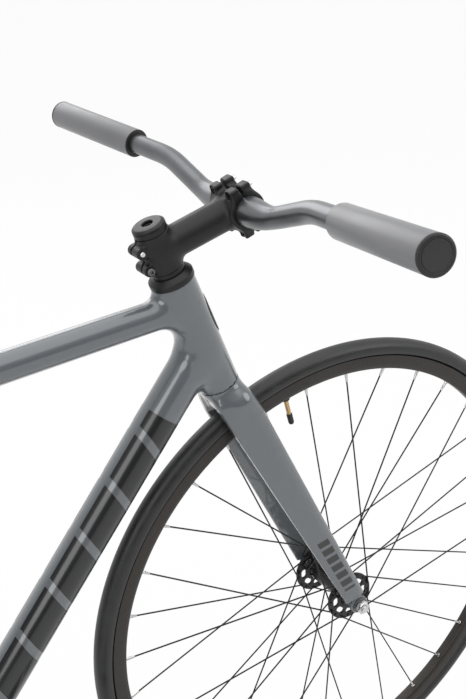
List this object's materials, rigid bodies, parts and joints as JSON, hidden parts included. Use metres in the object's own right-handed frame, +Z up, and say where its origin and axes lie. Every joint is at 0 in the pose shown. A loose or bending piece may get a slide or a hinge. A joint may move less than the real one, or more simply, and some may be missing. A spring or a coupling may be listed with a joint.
{
  "type": "fixed gear bike",
  "caption": "Bare single-speed bicycle with welded tube frame, bladed fork, riser bar, spoked wheels and a chain drive without freewheel.",
  "frame": {"origin": "on the ground midway between the two axles", "axes": "+X forward, +Y to the rider's left, +Z up"},
  "size_m": [1.6223, 0.6952, 0.9964],
  "materials": {
    "frame_paint": "gloss",
    "black_metal": "satin",
    "bar_metal": "satin",
    "rim_metal": "satin",
    "steel": "polished",
    "dark_steel": "satin",
    "valve_brass": "satin",
    "crank_metal": "polished",
    "tyre_rubber": "matte",
    "grip_rubber": "matte",
    "black_plastic": "matte",
    "saddle_skin": "matte"
  },
  "bodies": {
    "frame": {"head_tube": "frame_paint", "top_tube": "frame_paint", "down_tube": "frame_paint", "seat_tube": "frame_paint", "bottom_bracket_shell": "frame_paint", "chain_stays": "frame_paint", "seat_stays": "frame_paint", "track_ends": "frame_paint", "seat_clamp": "black_metal", "headset_bearings": "steel", "bottom_bracket_cups": "steel", "rear_axle": "steel", "rear_axle_nuts": "steel", "chain": "steel"},
    "front_end": {"fork": "frame_paint", "fork_steerer": "black_metal", "headset_cover": "black_metal", "headset_spacer": "black_metal", "top_cap": "black_metal", "stem": "black_metal", "stem_faceplate": "black_metal", "handlebar": "bar_metal", "grips": "grip_rubber", "grip_collars": "black_plastic", "grip_end_caps": "black_plastic", "front_axle": "steel", "front_axle_nuts": "steel"},
    "front_wheel": {"front_tyre": "tyre_rubber", "front_rim": "rim_metal", "front_valve": "valve_brass", "front_spokes": "dark_steel", "front_nipples": "steel", "front_hub_shell": "black_metal"},
    "rear_wheel": {"rear_tyre": "tyre_rubber", "rear_rim": "rim_metal", "rear_valve": "valve_brass", "rear_spokes": "dark_steel", "rear_nipples": "steel", "rear_hub_shell": "black_metal", "drive_cog": "steel", "cog_lockring": "steel"},
    "crankset": {"bottom_bracket_spindle": "steel", "crank_right": "crank_metal", "crank_left": "crank_metal", "chainring": "crank_metal", "pedal_axles": "steel"},
    "pedal_right": {"pedal_right": "black_plastic"},
    "pedal_left": {"pedal_left": "black_plastic"},
    "seatpost": {"seatpost": "black_metal"},
    "saddle": {"saddle_clamp": "black_metal", "saddle_rails": "dark_steel", "saddle_base": "black_plastic", "saddle_cover": "saddle_skin"}
  },
  "joints": [
    {"name": "steering", "type": "hinge", "parent": "frame", "child": "front_end", "pos_m": [0.44469, 0, 0.32632], "axis": [-0.3024, 0, 0.9532], "range_deg": [-90, 90]},
    {"name": "front_wheel_spin", "type": "hinge", "parent": "front_end", "child": "front_wheel", "pos_m": [0.47519, 0, 0.336], "axis": [0, 1, 0], "continuous": true},
    {"name": "rear_wheel_spin", "type": "hinge", "parent": "frame", "child": "rear_wheel", "pos_m": [-0.47519, 0, 0.336], "axis": [0, 1, 0], "continuous": true, "deforming": ["chain"]},
    {"name": "crank_spin", "type": "hinge", "parent": "frame", "child": "crankset", "pos_m": [-0.07781, 0, 0.281], "axis": [0, 1, 0], "continuous": true},
    {"name": "pedal_right_spin", "type": "hinge", "parent": "crankset", "child": "pedal_right", "pos_m": [0.08719, -0.124, 0.281], "axis": [0, 1, 0], "continuous": true},
    {"name": "pedal_left_spin", "type": "hinge", "parent": "crankset", "child": "pedal_left", "pos_m": [-0.24281, 0.124, 0.281], "axis": [0, 1, 0], "continuous": true},
    {"name": "seatpost_slide", "type": "slide", "parent": "frame", "child": "seatpost", "axis": [-0.2672, 0, 0.9636], "range_m": [-0.06, 0.04]},
    {"name": "saddle_tilt", "type": "hinge", "parent": "seatpost", "child": "saddle", "pos_m": [-0.24992, 0, 0.94161], "axis": [0, 1, 0], "range_deg": [-8, 8]}
  ],
  "couplings": [
    {"joint": "crank_spin", "follows": "rear_wheel_spin", "ratio": 0.33333}
  ]
}
